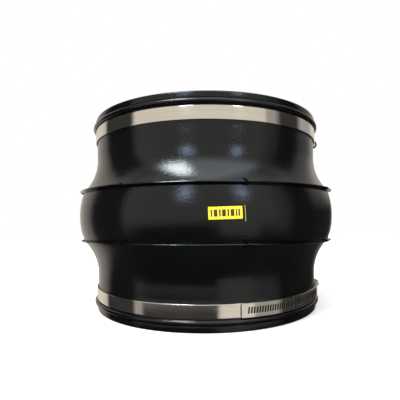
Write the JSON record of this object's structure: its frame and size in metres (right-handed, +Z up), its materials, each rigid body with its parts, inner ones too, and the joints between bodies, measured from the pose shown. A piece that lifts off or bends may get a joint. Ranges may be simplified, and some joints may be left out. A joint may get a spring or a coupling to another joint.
{
  "type": "rubber expansion joint",
  "caption": "Short, wide moulded black rubber pipe joint with a bulging arch, open cuffs and slotted stainless worm-drive clamp bands.",
  "frame": {"origin": "centre of the lower cuff's end face, on the pipe axis", "axes": "+Z up the pipe axis to the upper cuff; -Y towards the side that carries the label; +X towards the clamp housings"},
  "size_m": [0.3409, 0.3412, 0.243],
  "materials": {
    "cover_rubber": "gloss",
    "cord_fabric": "matte",
    "liner_rubber": "satin",
    "label": "satin",
    "stainless_band": "bright rolled",
    "stainless_housing": "pressed",
    "steel_screw": "plated"
  },
  "bodies": {
    "lower_end": {"lower_cuff_cover": "cover_rubber", "lower_cuff_outer_ply": "cord_fabric", "lower_cuff_inner_ply": "cord_fabric", "lower_cuff_liner": "liner_rubber"},
    "lower_ring": {"lower_shoulder_cover": "cover_rubber", "lower_shoulder_outer_ply": "cord_fabric", "lower_shoulder_inner_ply": "cord_fabric", "lower_shoulder_liner": "liner_rubber"},
    "upper_ring": {"crown_cover": "cover_rubber", "crown_outer_ply": "cord_fabric", "crown_inner_ply": "cord_fabric", "crown_liner": "liner_rubber", "material_label": "label"},
    "upper_end": {"upper_shoulder_cover": "cover_rubber", "upper_shoulder_outer_ply": "cord_fabric", "upper_shoulder_inner_ply": "cord_fabric", "upper_shoulder_liner": "liner_rubber", "upper_cuff_cover": "cover_rubber", "upper_cuff_outer_ply": "cord_fabric", "upper_cuff_inner_ply": "cord_fabric", "upper_cuff_liner": "liner_rubber"},
    "lower_clamp": {"lower_band": "stainless_band", "lower_clamp_saddle": "stainless_band", "lower_clamp_housing": "stainless_housing"},
    "lower_tail": {"lower_band_tail": "stainless_band"},
    "lower_screw": {"lower_clamp_screw": "steel_screw"},
    "upper_clamp": {"upper_band": "stainless_band", "upper_clamp_saddle": "stainless_band", "upper_clamp_housing": "stainless_housing"},
    "upper_tail": {"upper_band_tail": "stainless_band"},
    "upper_screw": {"upper_clamp_screw": "steel_screw"}
  },
  "joints": [
    {"name": "lower_bend", "type": "hinge", "parent": "lower_end", "child": "lower_ring", "pos_m": [0, 0, 0.0652], "axis": [1, 0, 0], "range_deg": [-7.5, 7.5], "stiffness_Nm_per_rad": 1500, "deforming": ["lower_shoulder_cover", "lower_shoulder_outer_ply", "lower_shoulder_inner_ply", "lower_shoulder_liner"]},
    {"name": "axial_travel", "type": "slide", "parent": "lower_ring", "child": "upper_ring", "axis": [0, 0, 1], "range_m": [-0.025, 0.016], "stiffness_N_per_m": 200000, "deforming": ["crown_cover", "crown_outer_ply", "crown_inner_ply", "crown_liner", "material_label"]},
    {"name": "upper_bend", "type": "hinge", "parent": "upper_ring", "child": "upper_end", "pos_m": [0, 0, 0.1753], "axis": [1, 0, 0], "range_deg": [-7.5, 7.5], "stiffness_Nm_per_rad": 1500, "deforming": ["upper_shoulder_cover", "upper_shoulder_outer_ply", "upper_shoulder_inner_ply", "upper_shoulder_liner"]},
    {"name": "lower_clamp_turn", "type": "hinge", "parent": "lower_end", "child": "lower_clamp", "pos_m": [0, 0, 0.0218], "axis": [0, 0, 1], "continuous": true},
    {"name": "lower_screw_turn", "type": "hinge", "parent": "lower_clamp", "child": "lower_screw", "pos_m": [0.1554, 0.0057, 0.0218], "axis": [0.0366, -0.9993, 0], "range_deg": [-720, 1440]},
    {"name": "lower_tail_travel", "type": "hinge", "parent": "lower_clamp", "child": "lower_tail", "pos_m": [0, 0, 0.0218], "axis": [0, 0, 1], "range_deg": [-2.41, 4.82]},
    {"name": "upper_clamp_turn", "type": "hinge", "parent": "upper_end", "child": "upper_clamp", "pos_m": [0, 0, 0.2212], "axis": [0, 0, 1], "continuous": true},
    {"name": "upper_screw_turn", "type": "hinge", "parent": "upper_clamp", "child": "upper_screw", "pos_m": [0.15529, 0.00814, 0.2212], "axis": [-0.0523, 0.9986, 0], "range_deg": [-720, 1440]},
    {"name": "upper_tail_travel", "type": "hinge", "parent": "upper_clamp", "child": "upper_tail", "pos_m": [0, 0, 0.2212], "axis": [0, 0, 1], "range_deg": [-4.82, 2.41]}
  ],
  "couplings": [
    {"joint": "lower_tail_travel", "follows": "lower_screw_turn", "ratio": 0.0033409},
    {"joint": "upper_tail_travel", "follows": "upper_screw_turn", "ratio": -0.0033409}
  ]
}
